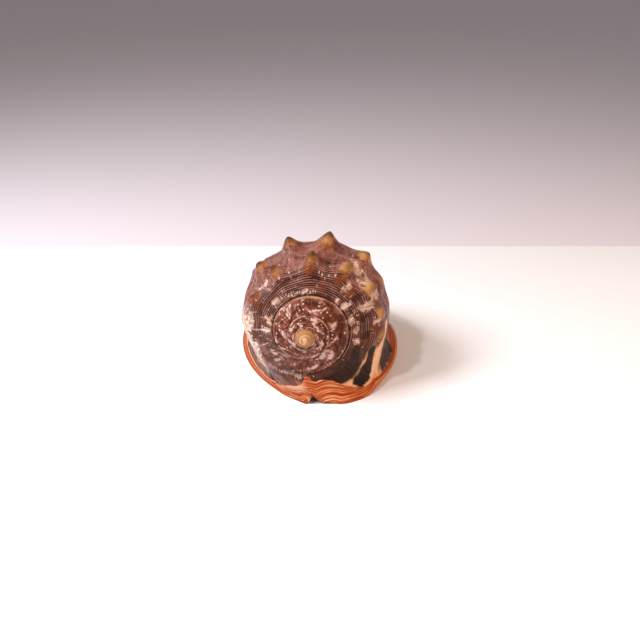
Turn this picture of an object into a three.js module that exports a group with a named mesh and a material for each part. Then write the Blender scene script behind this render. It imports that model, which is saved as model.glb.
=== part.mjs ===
// A bullmouth helmet shell, the kind that cameos are cut from, lying on its mouth.
// Millimetres, +Z up. The spire points along -Y, the siphonal canal along +Y and the thick
// outer lip lies on the +X side. The origin is the middle of the box's foot.
//
// The shell is built the way it grows. One profile, from the suture to the canal, is turned about
// the coiling axis while it is enlarged, so every whorl repeats the one before it. The growth angle
// runs from -360 degrees, where the last whorl leaves the mouth, to 0 at the outer lip.

import * as THREE from "three";
import { mergeVertices } from "three/addons/utils/BufferGeometryUtils.js";

// Driving dimensions of the coil
const WHORL_GROWTH = 1.8; // each whorl is this much larger than the one before
const SPIRE_TURNS = 4; // whorls that show inside the last one
const APEX_X = -9; // the coiling axis stands left of the middle of the base
const APEX_HEIGHT = 59.5;
const AXIS_TILT = 8; // degrees, tip of the spire up
const CANAL_DROP = 20; // the axis bends down to the canal by this much
const CANAL_SWAY = 7; // and across, towards the middle

// The profile of the last whorl at the lip: distance from the axis, distance behind the tip of the
// spire, and how far the growth with the turn has faded out there.
const PROFILE = [
  [31.5, 19.5, 0], // suture
  [40, 23, 0],
  [49, 27, 0],
  [54.3, 30.8, 0], // shoulder
  [56.7, 35.1, 0], // where the next suture lies, one whorl growth from the first point
  [62.2, 47, 0.03],
  [65, 60, 0.12], // widest
  [64, 79, 0.3],
  [59.5, 101, 0.6],
  [55, 126, 0.8],
  [46, 151, 0.95],
  [30, 176, 1],
  [14, 199, 1], // end of the canal
];
const [SUTURE_RADIUS] = PROFILE[0];
const FADED_GROWTH = WHORL_GROWTH ** -0.5; // growth on the middle of the back

// Knobs: growth angle and height of each one, in rows along the whorl
const KNOB_ROWS = [
  {
    radius: 55.5, // where on the profile the row runs
    depth: 32,
    reach: 8, // half width across the row
    spread: 6.2, // half width along the row, degrees
    knobs: [[-272, 2.5], [-242, 4.5], [-207, 8], [-175, 11], [-146, 8], [-121, 7], [-99, 4.5], [-79, 3]],
  },
  {
    radius: 64.5,
    depth: 58,
    reach: 9.5,
    spread: 6.8,
    knobs: [[-250, 1.2], [-221, 6.8], [-192, 10.2], [-165, 12.8], [-136, 9], [-115, 3], [-96, 1.5]],
  },
  {
    radius: 62.5,
    depth: 90,
    reach: 7.5,
    spread: 6.2,
    knobs: [[-262, 2.5], [-236, 3.2], [-123, 4], [-103, 3]],
  },
  {
    radius: 51,
    depth: 121,
    reach: 7,
    spread: 6.5,
    knobs: [[-268, 1.6], [-242, 2], [-112, 2.4]],
  },
];
const KNOB_LEAN = 0.28; // knobs lean this much towards the spire

// Hollows between the knobs of the back and the upper left: the growth angles and depths that each
// one covers, how gently it starts and ends, and its fall
const HOLLOWS = [
  { angles: [-181, -175], angleFade: 12, depths: [50, 125], depthFade: 20, fall: 3.6 },
  { angles: [-209, -203], angleFade: 11, depths: [46, 105], depthFade: 14, fall: 5.5 },
  { angles: [-262, -218], angleFade: 8, depths: [40, 105], depthFade: 14, fall: 3.2 },
];

// Carved oval on the back, sunk into the outer layer
const CAMEO = { angle: -180, depth: 104, halfAngle: 26, halfDepth: 23, sink: 1.1 };

// Base: the outline that the shell rests on, round in front and drawn out to the canal behind
const SHIELD_HALF_WIDTH = 58;
const SHIELD_TAPER = 1.35; // the shield's front is drawn in
const LIP_HALF_WIDTH = 59.2;
const LIP_TAPER = 0.8; // the lip's front is full
const BASE_CENTRE_X = -0.7;
const BASE_CENTRE_Y = 92;
const BASE_FRONT = 78;
const BASE_BACK = 58;
const CANAL_HALF_WIDTH = 9;
const CANAL_LIFT = 14; // the end of the canal turns up
const CANAL_LIFT_START = 122;
const CORNER_ANGLE = -52; // where the front rim becomes a side rim
const SHIELD_EDGE = 2; // height of the shield's thin edge in front, left
const SHIELD_RISE = 7; // the shield's edge curls up by this much behind
const LIP_EDGE = 6.5; // height of the thick lip's edge, right
const RIM_ROUND = 0.3; // share of the underside that rounds up to the edge
const FLANK_DROP = 1.0; // how long the flank keeps going down, as a share of its height
const SHIELD_FLARE = 0.75;
const LIP_FLARE = 1.05;
const CORNER_FLARE = 0.45; // share of the flare that is left at the front corners
const CORNER_SLANT = 32; // degrees, how far the front wall and the flank fan apart above the corners
const WALL_DROP = 24; // the front wall leaves the ring this strongly
const WALL_SLOPE = 0.45; // leaning in under the whorl
const WALL_FLARE = 16; // and reaches the front rim this strongly

// Mouth: a long toothed slot from the notch under the spire to the canal
const FRONT_SHARE = 0.17; // share of the rows between the suture ring and the front rim
const NOTCH_SHARE = 0.5; // the slot opens this far down the front
const MOUTH_X = -2.7;
const MOUTH_BOW = 3;
const NOTCH_HALF_WIDTH = 7;
const MOUTH_HALF_WIDTH = 4.6;
const CANAL_GAP = 3.4;
const NOTCH_FOLD = 3.5; // the lips of the notch stand out towards the spire
const TEETH = 14;
const TOOTH_HEIGHT = 1.3;
const CAVITY = { across: 36, end: [20, 50], inner: [9, 34], back: 30 }; // how far it reaches each way

// Mesh: columns round the shell, rows across a whorl and rows from the suture to the canal
const COLUMNS = 72;
const WHORL_ROWS = 4;
const FRONT_ROWS = 6;
const NOTCH_ROW = Math.round(NOTCH_SHARE * FRONT_ROWS);
const BODY_ROWS = FRONT_ROWS + 2 * TEETH;
const CAVITY_COLUMNS = 10;
const WELD = 1e-4;

const radians = THREE.MathUtils.degToRad;
const { lerp, clamp } = THREE.MathUtils;
const ease = (x) => THREE.MathUtils.smoothstep(x, 0, 1);
const growth = (angle) => WHORL_GROWTH ** (angle / 360);
const bell = (x) => Math.exp(-x * x);
const between = (x, [low, high], fade) => ease((x - low + fade) / fade) * ease((high + fade - x) / fade);

// A smooth curve through the profile's points, by cubic Hermite pieces with their length as parameter
const knots = [0];
for (let k = 1; k < PROFILE.length; k++) {
  const step = Math.hypot(PROFILE[k][0] - PROFILE[k - 1][0], PROFILE[k][1] - PROFILE[k - 1][1]);
  knots.push(knots[k - 1] + step);
}
const PROFILE_LENGTH = knots.at(-1);

function slope(k, axis) {
  const before = Math.max(k - 1, 0);
  const after = Math.min(k + 1, knots.length - 1);
  return (PROFILE[after][axis] - PROFILE[before][axis]) / (knots[after] - knots[before]);
}

function profile(length) {
  let k = 0;
  while (k < knots.length - 2 && length > knots[k + 1]) k++;
  const span = knots[k + 1] - knots[k];
  const t = (length - knots[k]) / span;
  const value = (axis) =>
    (2 * t ** 3 - 3 * t ** 2 + 1) * PROFILE[k][axis] +
    (t ** 3 - 2 * t ** 2 + t) * span * slope(k, axis) +
    (3 * t ** 2 - 2 * t ** 3) * PROFILE[k + 1][axis] +
    (t ** 3 - t ** 2) * span * slope(k + 1, axis);
  return { radius: value(0), depth: value(1), fade: clamp(value(2), 0, 1) };
}

// Length along the profile at which it has a given radius, on the slope above the shoulder
const SHOULDER = 4;
function lengthAtRadius(radius) {
  let low = 0;
  let high = knots[SHOULDER];
  for (let step = 0; step < 50; step++) {
    const middle = (low + high) / 2;
    if (profile(middle).radius < radius) low = middle;
    else high = middle;
  }
  return (low + high) / 2;
}

// Height of the knobs, less the hollows and the carved oval, at a place on the last whorl
function cameoCover(angle, depth) {
  const across = (angle - CAMEO.angle) / CAMEO.halfAngle;
  const along = (depth - CAMEO.depth) / CAMEO.halfDepth;
  return 1 - ease((Math.hypot(across, along) - 0.9) / 0.2);
}

function relief(angle, radius, depth) {
  let height = 0;
  for (const row of KNOB_ROWS) {
    const across = Math.hypot(radius - row.radius, depth - row.depth) / row.reach;
    for (const [at, tall] of row.knobs) height += tall * bell(across) * bell((angle - at) / row.spread);
  }
  const carved = cameoCover(angle, depth);
  const clearOfSuture = ease((radius - SUTURE_RADIUS) / 10);
  let hollow = CAMEO.sink * carved;
  for (const { angles, angleFade, depths, depthFade, fall } of HOLLOWS) {
    hollow += fall * between(angle, angles, angleFade) * between(depth, depths, depthFade);
  }
  return height * clearOfSuture * (1 - carved) - hollow;
}

// A point given by its growth angle, its distance from the bent axis and its depth behind the tip
function aboutAxis(angle, radius, depth) {
  const turned = radians(-90 - angle);
  const bend = ease((depth - 60) / 79);
  const up = radius * Math.sin(turned) - CANAL_DROP * bend;
  const tilt = radians(AXIS_TILT);
  return new THREE.Vector3(
    APEX_X + CANAL_SWAY * bend + radius * Math.cos(turned),
    depth * Math.cos(tilt) + up * Math.sin(tilt),
    APEX_HEIGHT - depth * Math.sin(tilt) + up * Math.cos(tilt),
  );
}

// A whorl's outer surface at a growth angle and a length along the profile
function whorl(angle, length) {
  const { radius, depth, fade } = profile(length);
  const scale = growth(angle) ** (1 - fade) * FADED_GROWTH ** fade;
  const raised = angle > -360 ? relief(angle, radius, depth) * scale : 0;
  return aboutAxis(angle, radius * scale + raised, depth * scale - KNOB_LEAN * raised);
}

// The spire: whorls between one suture and the next, the first one opening from a small round tip
const tipScale = growth(-360 * SPIRE_TURNS);
const coneSlope = PROFILE[0][1] / SUTURE_RADIUS;

function spirePoint(turn, column, row) {
  const angle = 360 * (turn - SPIRE_TURNS - 1 + column / COLUMNS);
  const across = row / WHORL_ROWS;
  if (turn > 0) return whorl(angle, lengthAtRadius(SUTURE_RADIUS * WHORL_GROWTH ** across));
  const full = profile(lengthAtRadius(SUTURE_RADIUS * WHORL_GROWTH ** across));
  const bulge = (full.depth - coneSlope * full.radius) * (column / COLUMNS);
  const radius = SUTURE_RADIUS * WHORL_GROWTH ** ((across * column) / COLUMNS);
  return aboutAxis(angle, radius * tipScale, (coneSlope * radius + bulge) * tipScale);
}

// The last whorl begins at a ring round the spire that meets the suture at the notch
const ringLength = (angle) => lengthAtRadius(SUTURE_RADIUS / growth(angle));

function shoulderPoint(column, row) {
  const angle = -360 + (360 * column) / COLUMNS;
  const radius = SUTURE_RADIUS * growth(angle) ** (-row / WHORL_ROWS);
  return whorl(angle, lengthAtRadius(radius));
}

function whorlRow(angle, share) {
  const start = ringLength(angle);
  return whorl(angle, lerp(start, PROFILE_LENGTH, share));
}

// Base outline: side is -1 at the shield and 1 at the lip, angle -90 in front and 90 at the canal
function outline(side, angle) {
  const across = Math.cos(radians(angle));
  const along = Math.sin(radians(angle));
  const back = along > 0;
  const [width, taper] = side < 0 ? [SHIELD_HALF_WIDTH, SHIELD_TAPER] : [LIP_HALF_WIDTH, LIP_TAPER];
  const half = back ? lerp(CANAL_HALF_WIDTH, width, across ** 1.1) : width * across ** taper;
  const y = BASE_CENTRE_Y + (back ? BASE_BACK : BASE_FRONT) * along;
  return new THREE.Vector3(BASE_CENTRE_X + side * half, y, 0);
}

const BASE_END = BASE_CENTRE_Y + BASE_BACK;
const canalLift = (y) => CANAL_LIFT * ease((y - CANAL_LIFT_START) / (BASE_END - CANAL_LIFT_START));

// Share of the way from the front rim to the end of the canal
const alongBase = (share) => clamp((share - FRONT_SHARE) / (1 - FRONT_SHARE), 0, 1);

// Half the slot's width: shut at the top of the front, widest at the notch, narrow in the canal
function mouthGap(share) {
  if (share < FRONT_SHARE) {
    return NOTCH_HALF_WIDTH * clamp((share / FRONT_SHARE - NOTCH_SHARE) / (1 - NOTCH_SHARE), 0, 1);
  }
  const along = alongBase(share);
  const settled = lerp(MOUTH_HALF_WIDTH, CANAL_GAP, ease((along - 0.6) / 0.4));
  const teeth = TOOTH_HEIGHT * Math.cos(2 * Math.PI * TEETH * along);
  return lerp(NOTCH_HALF_WIDTH, settled + teeth * Math.sin(Math.PI * along), ease(along / 0.12));
}

function mouthLine(side, share) {
  const along = alongBase(share);
  const bow = MOUTH_BOW * Math.sin(Math.PI * along) + (BASE_CENTRE_X - MOUTH_X) * along;
  const y = BASE_CENTRE_Y + lerp(-BASE_FRONT, BASE_BACK, along);
  return new THREE.Vector3(MOUTH_X + bow + side * mouthGap(share), y, 0);
}

// The front rim, from its corner to the mouth
function frontRim(side, across, share) {
  const point = outline(side, lerp(CORNER_ANGLE, -90, across));
  const mouth = mouthLine(side, Math.min(share, FRONT_SHARE));
  point.x += (mouth.x - BASE_CENTRE_X) * across ** 3;
  return point;
}

// The underside is stretched between the side rim, the front rim and the mouth
function underside(side, across, share) {
  const along = alongBase(share);
  const rim = outline(side, lerp(CORNER_ANGLE, 90, along));
  const mouth = mouthLine(side, share);
  const front = frontRim(side, across, share);
  const frontMouth = mouthLine(side, Math.min(share, FRONT_SHARE));
  const straightFront = outline(side, CORNER_ANGLE).lerp(frontMouth, across);
  const point = rim.lerp(mouth, across).add(front.sub(straightFront).multiplyScalar(1 - along));
  const edge = side < 0 ? SHIELD_EDGE + SHIELD_RISE * ease(along / 0.5) : LIP_EDGE;
  const height = lerp(edge, Math.min(edge, 3), ease((along - 0.6) / 0.4));
  point.z = height * clamp(1 - across / RIM_ROUND, 0, 1) ** 2 + canalLift(point.y);
  return point;
}

// A curve from one point to another with a direction at each end
function bridge(t, from, leaving, to, arriving) {
  return new THREE.Vector3()
    .addScaledVector(from, 2 * t ** 3 - 3 * t ** 2 + 1)
    .addScaledVector(leaving, t ** 3 - 2 * t ** 2 + t)
    .addScaledVector(to, 3 * t ** 2 - 2 * t ** 3)
    .addScaledVector(arriving, t ** 3 - t ** 2);
}

const axisUp = new THREE.Vector3(0, Math.sin(radians(AXIS_TILT)), Math.cos(radians(AXIS_TILT)));
const axisBack = new THREE.Vector3(0, Math.cos(radians(AXIS_TILT)), -Math.sin(radians(AXIS_TILT)));

function outward(side, angle, length) {
  const across = Math.cos(radians(angle));
  const along = Math.sin(radians(angle));
  return new THREE.Vector3(side * across, along, -0.3).multiplyScalar(length);
}

// The flank runs down from the whorl's side and flares out to the rim
function flank(side, across, share) {
  const along = alongBase(share);
  const top = whorlRow(side < 0 ? -270 : -90, share);
  const rim = underside(side, 0, share);
  const drop = top.distanceTo(rim);
  const down = axisUp.clone().multiplyScalar(-FLANK_DROP * drop);
  const strength = lerp(CORNER_FLARE, 1, ease(along / 0.35)) * (1 - 0.7 * along);
  const flare = (side < 0 ? SHIELD_FLARE : LIP_FLARE) * drop * strength;
  const heading = lerp(CORNER_ANGLE, 90, along) - CORNER_SLANT * (1 - ease(along / 0.35));
  return bridge(across, top, down, rim, outward(side, heading, flare));
}

// The front wall runs down from the ring round the spire, in under the whorl and out to the front rim
function frontWall(side, angle, below, share) {
  const ring = whorlRow(angle, 0);
  const turned = radians(-90 - angle);
  const radial = new THREE.Vector3(Math.cos(turned), 0, 0).addScaledVector(axisUp, Math.sin(turned));
  const leaving = radial.addScaledVector(axisBack, WALL_SLOPE).multiplyScalar(WALL_DROP);
  const cornerHeading = CORNER_ANGLE + CORNER_SLANT;
  const t = share / FRONT_SHARE;
  if (below < 0.5) {
    const heading = lerp(75, cornerHeading, (2 * below) ** 1.5);
    const arriving = outward(side, heading, WALL_FLARE);
    return bridge(t, ring, leaving, flank(side, 2 * below, FRONT_SHARE), arriving);
  }
  const across = 2 * below - 1;
  const rim = frontRim(side, across, share);
  rim.z = underside(side, across, FRONT_SHARE).z;
  const heading = lerp(CORNER_ANGLE, -90, across) + CORNER_SLANT * (1 - across) ** 1.5;
  return bridge(t, ring, leaving, rim, outward(side, heading, WALL_FLARE));
}

// The last whorl with its base: turned above the axis, wall, flank and underside below it
function bodyPoint(column, row) {
  const angle = -360 + (360 * column) / COLUMNS;
  const share = row < FRONT_ROWS
    ? (FRONT_SHARE * row) / FRONT_ROWS
    : lerp(FRONT_SHARE, 1, (row - FRONT_ROWS) / (BODY_ROWS - FRONT_ROWS));
  const side = angle < -180 ? -1 : 1;
  const below = side < 0 ? (-270 - angle) / 90 : (angle + 90) / 90;
  const turned = whorlRow(angle, share);
  if (below <= 0) return turned;
  if (share < FRONT_SHARE) {
    const point = turned.lerp(frontWall(side, angle, below, share), ease(2 * below));
    point.y -= NOTCH_FOLD * bell((1 - below) / 0.15) * Math.sin((Math.PI * share) / FRONT_SHARE);
    return point;
  }
  const based = below < 0.5 ? flank(side, 2 * below, share) : underside(side, 2 * below - 1, share);
  return turned.lerp(based, ease(2 * below));
}

// The cavity curves up from the mouth beside the pillar and back, deepest in the middle of the shell
function cavityPoint(column, row) {
  const right = bodyPoint(COLUMNS, row);
  const left = bodyPoint(0, row);
  if (column === 0) return right;
  if (column === CAVITY_COLUMNS) return left;
  const along = (row - FRONT_ROWS) / (BODY_ROWS - FRONT_ROWS);
  const opened = ease((row - NOTCH_ROW) / 4);
  const deep = opened * (0.16 + 0.84 * Math.sin(Math.PI * clamp((along + 0.06) / 1.06, 0, 1)) ** 1.2);
  const middle = right.clone().lerp(left, 0.5);
  const [endX, endZ] = CAVITY.end;
  const [innerX, innerZ] = CAVITY.inner;
  const back = CAVITY.back * (1 - ease(along / 0.12)) * deep;
  const at = (x, z) => middle.clone().add(new THREE.Vector3(x * deep, back, z * deep));
  const half = CAVITY_COLUMNS / 2;
  const end = at(endX, endZ);
  const wall = column <= half
    ? new THREE.CubicBezierCurve3(right, right.clone().add(new THREE.Vector3(0, back, 9 * deep)),
        at(CAVITY.across, 18), end)
    : new THREE.CubicBezierCurve3(end, at(innerX, innerZ + 20),
        left.clone().add(new THREE.Vector3(0, back, 12 * deep)), left);
  return wall.getPoint(column <= half ? column / half : (column - half) / half);
}

// Mesh: each patch is a grid of points, and the patches meet on shared points
const corners = [];

function triangle(a, b, c) {
  const flat = a.distanceTo(b) < WELD || b.distanceTo(c) < WELD || c.distanceTo(a) < WELD;
  if (!flat) corners.push(a, b, c);
}

function patch(columns, firstRow, lastRow, point) {
  const grid = [];
  for (let row = firstRow; row <= lastRow; row++) {
    grid.push(Array.from({ length: columns + 1 }, (_, column) => point(column, row)));
  }
  for (let r = 0; r + 1 < grid.length; r++) {
    for (let c = 0; c < columns; c++) {
      triangle(grid[r][c], grid[r][c + 1], grid[r + 1][c + 1]);
      triangle(grid[r][c], grid[r + 1][c + 1], grid[r + 1][c]);
    }
  }
  return grid;
}

// Closes the canal's end between its outside and its groove, walking both from the shield to the lip
function closeCanal(outside, groove) {
  let o = 0;
  let g = 0;
  while (o < outside.length - 1 || g < groove.length - 1) {
    const stepOutside = (o + 1) / outside.length <= (g + 1) / groove.length;
    if (g === groove.length - 1 || (stepOutside && o < outside.length - 1)) {
      triangle(outside[o], outside[o + 1], groove[g]);
      o++;
    } else {
      triangle(outside[o], groove[g + 1], groove[g]);
      g++;
    }
  }
}

function shellGeometry() {
  const apex = aboutAxis(0, 0, 0);
  for (let column = 0; column < COLUMNS; column++) {
    triangle(apex, spirePoint(0, column + 1, 0), spirePoint(0, column, 0));
  }
  for (let turn = 0; turn < SPIRE_TURNS; turn++) {
    patch(COLUMNS, 0, WHORL_ROWS, (column, row) => spirePoint(turn, column, row));
  }
  patch(COLUMNS, 0, WHORL_ROWS, shoulderPoint);
  const body = patch(COLUMNS, 0, BODY_ROWS, bodyPoint);
  const cavity = patch(CAVITY_COLUMNS, NOTCH_ROW, BODY_ROWS, cavityPoint);
  closeCanal(body.at(-1), cavity.at(-1).toReversed());
  const soup = new THREE.BufferGeometry().setFromPoints(corners);
  const geometry = mergeVertices(soup, WELD);
  geometry.computeBoundingBox();
  const { min, max } = geometry.boundingBox;
  geometry.translate(-(min.x + max.x) / 2, -(min.y + max.y) / 2, -min.z);
  geometry.computeVertexNormals();
  return geometry;
}

const shellMaterial = new THREE.MeshStandardMaterial({ color: 0x7a4630, roughness: 0.35, metalness: 0 });
const shell = new THREE.Mesh(shellGeometry(), shellMaterial);
shell.name = "shell";

const object = new THREE.Group();
object.add(shell);

export default object;
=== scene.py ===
import math

import bpy
import numpy as np
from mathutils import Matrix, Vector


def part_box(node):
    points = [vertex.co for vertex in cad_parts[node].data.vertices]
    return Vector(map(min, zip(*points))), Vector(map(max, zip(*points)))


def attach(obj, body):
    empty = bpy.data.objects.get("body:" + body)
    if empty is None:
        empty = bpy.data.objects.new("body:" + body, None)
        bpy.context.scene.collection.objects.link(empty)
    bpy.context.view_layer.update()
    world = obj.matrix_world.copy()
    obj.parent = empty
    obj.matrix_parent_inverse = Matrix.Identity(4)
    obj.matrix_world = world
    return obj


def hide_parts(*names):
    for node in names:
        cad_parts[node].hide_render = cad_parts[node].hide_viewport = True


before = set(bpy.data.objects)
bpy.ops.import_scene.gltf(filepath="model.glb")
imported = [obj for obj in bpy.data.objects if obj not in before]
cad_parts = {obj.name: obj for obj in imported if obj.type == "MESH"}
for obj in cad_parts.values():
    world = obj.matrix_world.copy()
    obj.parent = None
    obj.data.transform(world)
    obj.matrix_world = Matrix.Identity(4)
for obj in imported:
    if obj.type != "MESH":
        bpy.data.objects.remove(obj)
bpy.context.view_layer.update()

bl_info = {
    "name": "Carved helmet shell",
    "version": (1, 0, 0),
    "blender": (4, 5, 0),
    "location": "View3D > Sidebar > Helmet shell",
    "description": "Builds a knobbed helmet shell with a carved oval on its back, and a studio for it",
    "category": "Add Mesh",
}

# Shape, in millimetres and degrees. The growth angle runs from -360 where the last whorl leaves the
# mouth to 0 at the outer lip, and earlier whorls have smaller angles.

MM = 0.001
WHORL_GROWTH = 1.8
SPIRE_TURNS = 5
AXIS_TILT = math.radians(8)
APEX_X, APEX_HEIGHT = -9.0, 59.5
CANAL_DROP, CANAL_SWAY = 20.0, 7.0
BEND_START, BEND_LENGTH = 60.0, 79.0

# Profile of the last whorl at the lip: distance from the axis, depth behind the tip, fade of growth
PROFILE = np.array([
    (31.5, 19.5, 0), (40, 23, 0), (49, 27, 0), (54.3, 30.8, 0), (56.7, 35.1, 0),
    (62.2, 47, 0.03), (65, 60, 0.12), (64, 79, 0.3), (59.5, 101, 0.6), (55, 126, 0.8),
    (46, 151, 0.95), (30, 176, 1), (14, 199, 1),
], float)
SHOULDER = 4
SUTURE_RADIUS = 31.5
CONE_SLOPE = 19.5 / 31.5
FADED_GROWTH = WHORL_GROWTH ** -0.5

# Knob rows: place on the profile, half width across, half width along in degrees, (angle, height)
KNOB_ROWS = (
    (55.5, 32, 8, 6.2, ((-272, 2.5), (-242, 4.5), (-207, 8), (-175, 11), (-146, 8), (-121, 7),
                        (-99, 4.5), (-79, 3))),
    (64.5, 58, 9.5, 6.8, ((-250, 1.2), (-221, 6.8), (-192, 10.2), (-165, 12.8), (-136, 9), (-115, 3),
                          (-96, 1.5))),
    (62.5, 90, 7.5, 6.2, ((-262, 2.5), (-236, 3.2), (-123, 4), (-103, 3))),
    (51, 121, 7, 6.5, ((-268, 1.6), (-242, 2), (-112, 2.4))),
)
KNOB_LEAN = 0.28
KNOB_CONE, KNOB_SWELL = 0.72, 0.36
KNOB_CLEARANCE, FULL_KNOB = 10.0, 6.0

# Hollows of the last whorl: first and last angle and its fade, first and last depth and its fade, fall
HOLLOWS = (
    (-181, -175, 12, 50, 125, 20, 3.6), (-209, -203, 11, 46, 105, 14, 5.5),
    (-262, -218, 8, 40, 105, 14, 3.2),
)

CAMEO_ANGLE, CAMEO_DEPTH = -180.0, 104.0
CAMEO_HALF_ANGLE, CAMEO_HALF_DEPTH = 26.0, 23.0

SHIELD_HALF_WIDTH, SHIELD_TAPER = 58.0, 1.35
LIP_HALF_WIDTH, LIP_TAPER = 59.2, 0.8
BASE_CENTRE_X, BASE_CENTRE_Y, BASE_FRONT, BASE_BACK = -0.7, 92.0, 78.0, 58.0
CANAL_HALF_WIDTH, CANAL_LIFT, CANAL_LIFT_START = 9.0, 14.0, 122.0
CORNER_ANGLE, CORNER_SLANT, CORNER_FLARE = -52.0, 32.0, 0.45
SHIELD_EDGE, SHIELD_RISE, LIP_EDGE, RIM_ROUND = 2.0, 7.0, 6.5, 0.3
FLANK_DROP, SHIELD_FLARE, LIP_FLARE = 1.0, 0.75, 1.05
WALL_DROP, WALL_SLOPE, WALL_FLARE = 24.0, 0.45, 16.0
FRONT_SHARE, NOTCH_SHARE = 0.17, 0.5
MOUTH_X, MOUTH_BOW = -2.7, 3.0
NOTCH_HALF_WIDTH, MOUTH_HALF_WIDTH, CANAL_GAP = 7.0, 4.6, 3.4
NOTCH_FOLD = 3.5
FOOT_ROUND = (0.0, 2.0, 2.2)
TEETH, TOOTH_HEIGHT = 14, 1.3
CAVITY_BACK = 30.0
# Control points of the cavity's curve, from the right edge over the top to the left edge of the mouth
CAVITY_RIGHT, CAVITY_OUTER = np.array([0, 0, 9.0]), np.array([36.0, 0, 18])
CAVITY_TOP = np.array([20.0, 0, 50])
CAVITY_INNER, CAVITY_LEFT = np.array([9.0, 0, 54]), np.array([0, 0, 12.0])

# Fine relief: pitches in units of the profile or degrees, lip widths in millimetres
CORD_PITCH, BACK_PITCH = 1.7, 6.5
BEAD_PITCH, BEAD_ANGLE = 6.4, 8.0
SUTURE_RIM, TIP_RADIUS, TIP_RING_PITCH = 27.2, 6.5, 9.0
LIP_BAND, LIP_BAND_GAIN, SHIELD_BAND, SHIELD_BAND_GAIN, LAYER_PITCH = 3.6, 14.0, 5.0, 8.0, 2.2
SCARS = ((-270, -0.12), (-291, -0.2))
PLATE_ANGLE, PLATE_LEAN, PLATE_SPAN = -221.3, -0.64, 29.0
STRIP_SHARE = 0.142

# Zones, each with its first and last place and the length of its fade: along the profile, then round
CORD_LENGTHS, BACK_LENGTHS, BEAD_LENGTHS = (3, 30, 4), (42, 185, 10), (4, 23, 2)
VALLEY_LENGTHS, VALLEY_ANGLES = (26, 50, 9), (-238, -104, 16)
SCAR_LENGTHS, PLATE_LENGTHS, PLATE_EDGE_LENGTHS = (11, 62, 3), (14, 46, 5), (20, 44, 6)
LINE_LENGTHS, BACK_LINE_LENGTHS = (2, 34, 4), (34, 70, 4)
DOT_LENGTHS, SLOPE_LENGTHS = (3, 24, 2), (2, 24, 4)
MAUVE_LENGTHS, MAUVE_ANGLES = (25, 42, 8), (-250, -118, 12)
STRIP_ANGLES = (-86, -50, 6)
# Places from which the lip's bands narrow, and over how many degrees; widening at the notch, and its reach
LIP_FADE_START, LIP_FADE, SHIELD_FADE_START, SHIELD_FADE = 10.0, 42.0, 22.0, 32.0
NOTCH_BAND_GAIN, NOTCH_REACH = 5.0, 9.0

# Markings: growth angle, length along the profile, half width in degrees, half length, strength
PALE_PATCHES = (
    (-137, 37, 7, 8, 1.0), (-127, 31, 7, 8, 1.0), (-113, 31, 7, 9, 1.0), (-137, 16, 4, 6, 0.85),
    (-110, 17, 5, 9, 0.95), (-134, 2.5, 5, 3.5, 0.85), (-122, 4.5, 5, 5, 0.9), (-102, 3, 6, 4, 0.9),
    (-88, 4, 7, 4, 0.8), (-94, 27, 5, 9, 0.8), (-72, 6, 6, 4, 0.75), (-179, 3, 12, 3, 0.5),
    (-200, 4, 12, 4, 0.45), (-222, 6, 10, 5, 0.55), (-251, 5, 8, 5, 0.9), (-268, 7, 7, 5, 0.8),
    (-322, 15, 7, 5, 0.7), (-306, 11, 7, 5, 0.65), (-226, 33, 7, 5, 0.6), (-262, 28, 9, 9, 0.8),
    (-339, 28, 9, 4, 0.75), (-352, 30, 7, 4, 0.7),
)
DARK_PATCHES = (
    (-122, 13, 4, 8, 0.75), (-146, 23, 7, 6, 0.6), (-121, 21, 4, 5, 0.6), (-98, 33, 6, 10, 0.7),
    (-100, 14, 5, 9, 0.7), (-82, 13, 6, 8, 0.7), (-333, 23, 9, 6, 0.8), (-312, 22, 8, 6, 0.6),
    (-196, 16.5, 13, 3, 0.7), (-168, 13, 16, 3, 0.6), (-350, 14, 10, 6, 0.6), (-113, 46, 8, 8, 0.6),
)
RUST_PATCHES = (
    (-176, 19, 6, 5, 0.95), (-145, 21, 8, 8, 0.9), (-131, 14, 6, 7, 0.8), (-238, 25, 12, 9, 0.85),
    (-119, 23, 6, 6, 0.8), (-86, 24, 7, 9, 0.75), (-163, 44, 9, 7, 0.8), (-75, 14, 6, 8, 0.7),
    (-160, 8, 14, 5, 0.5),
)
MAUVE_PATCHES = (
    (-300, 20, 20, 8, 0.7), (-345, 12, 10, 8, 0.5), (-208, 22, 17, 7, 0.8), (-163, 34, 9, 7, 0.8),
)
# Dashes: short white marks along the cords, partly the shell's own marks and partly painted glints
DASH_AND_GLINT_PATCHES = (
    (-199, 20, 16, 4, 0.7), (-161, 17.5, 9, 3.5, 0.7), (-176, 4, 20, 3, 0.3), (-128, 8, 14, 4, 0.6),
    (-225, 8, 14, 4, 0.35), (-300, 8, 30, 5, 0.3), (-100, 8, 14, 5, 0.4),
)
# Streaks on the front of the outer lip: growth angle and hundredths of the way to the canal at both
# ends, half width in hundredths, strength
BLOTCHES = (
    (-20, 5.4, -50, 4.8, 2.7, 1.1), (-50, 4.8, -66, 2.5, 2.2, 0.9), (-40, 10.0, -56, 10.6, 2.5, 1.1),
    (-56, 10.6, -68, 9.4, 2.0, 1.0), (-65, 23.0, -62, 40.0, 6.0, 1.1), (-66, 56.0, -58, 61.0, 5.0, 0.9),
    (-68, 76.0, -60, 80.0, 4.0, 0.8),
)
STREAK_DEGREE = 0.375

# Finish
SHELL_IOR, SHELL_SHEEN, SHEEN_TINT = 1.53, 0.11, (1.0, 0.72, 0.55)
BUMP_STRENGTH, BUMP_DISTANCE = 0.3, 0.0006

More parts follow.
